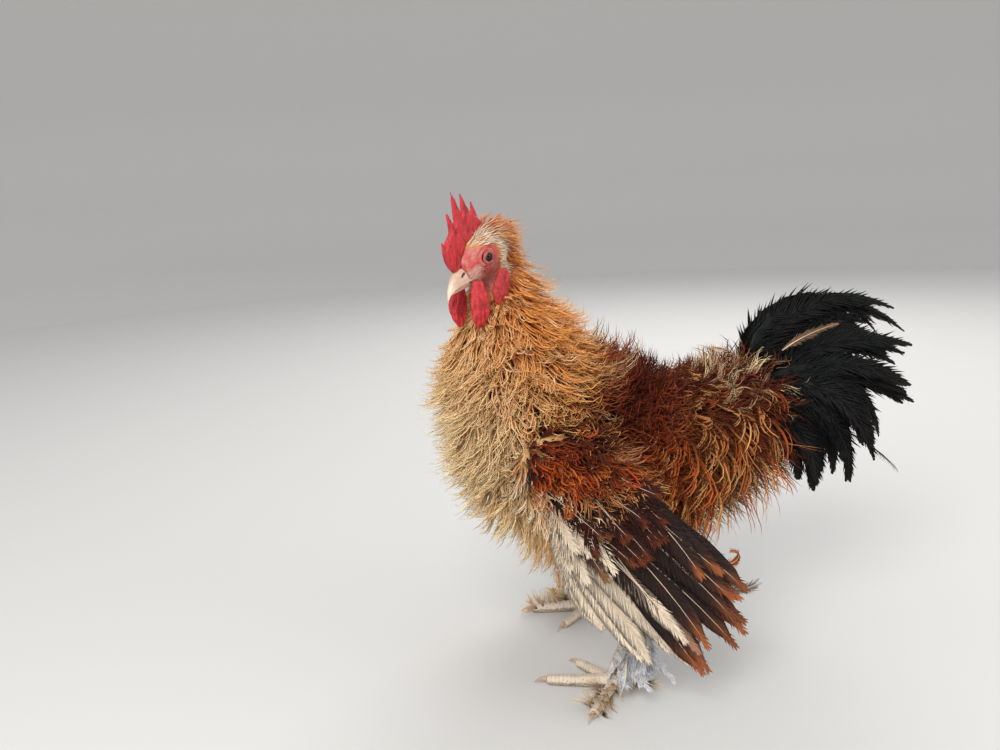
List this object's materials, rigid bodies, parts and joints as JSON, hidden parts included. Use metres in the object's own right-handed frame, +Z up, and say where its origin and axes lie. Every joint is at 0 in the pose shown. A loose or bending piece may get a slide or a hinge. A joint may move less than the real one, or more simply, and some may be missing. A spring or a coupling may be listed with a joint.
{
  "type": "frizzle rooster model",
  "caption": "Life-size standing frizzle rooster with curled body feathers, a full dark tail, drooped wings and feathered legs.",
  "frame": {"origin": "on the floor under the middle of the bird's bounding box", "axes": "+Z up; the bird faces -X and its left side is towards -Y"},
  "size_m": [0.489, 0.2616, 0.4474],
  "materials": {
    "body_plumage": "curled chestnut and buff feathers, matt with a soft sheen",
    "neck_plumage": "curled buff and straw feathers, soft",
    "tail_plumage": "black feathers with a faint green gloss",
    "wing_plumage": "dark brown flight feathers with cream and tan edges",
    "leg_plumage": "grey-cream down",
    "leg_scales": "pale scaled skin with short feathers",
    "face_skin": "bare pink-red skin, finely wrinkled",
    "comb_skin": "bright red, finely grained skin",
    "horn": "pale horn, smooth",
    "eye": "wet, dark brown"
  },
  "bodies": {
    "root": {"torso": "body_plumage", "neck": "neck_plumage", "tail": "tail_plumage", "wing_left": "wing_plumage", "wing_right": "wing_plumage", "thigh_left": "leg_plumage", "thigh_right": "leg_plumage", "shank_left": "leg_scales", "shank_right": "leg_scales", "foot_left": "leg_scales", "foot_right": "leg_scales", "head": "face_skin", "comb": "comb_skin", "wattle_left": "comb_skin", "wattle_right": "comb_skin", "ear_lobe_left": "comb_skin", "ear_lobe_right": "comb_skin", "beak_upper": "horn", "beak_lower": "horn", "spur_left": "horn", "spur_right": "horn", "claw_left_inner": "horn", "claw_left_middle": "horn", "claw_left_outer": "horn", "claw_left_hind": "horn", "claw_right_inner": "horn", "claw_right_middle": "horn", "claw_right_outer": "horn", "claw_right_hind": "horn", "eye_left": "eye", "eye_right": "eye"}
  },
  "joints": []
}
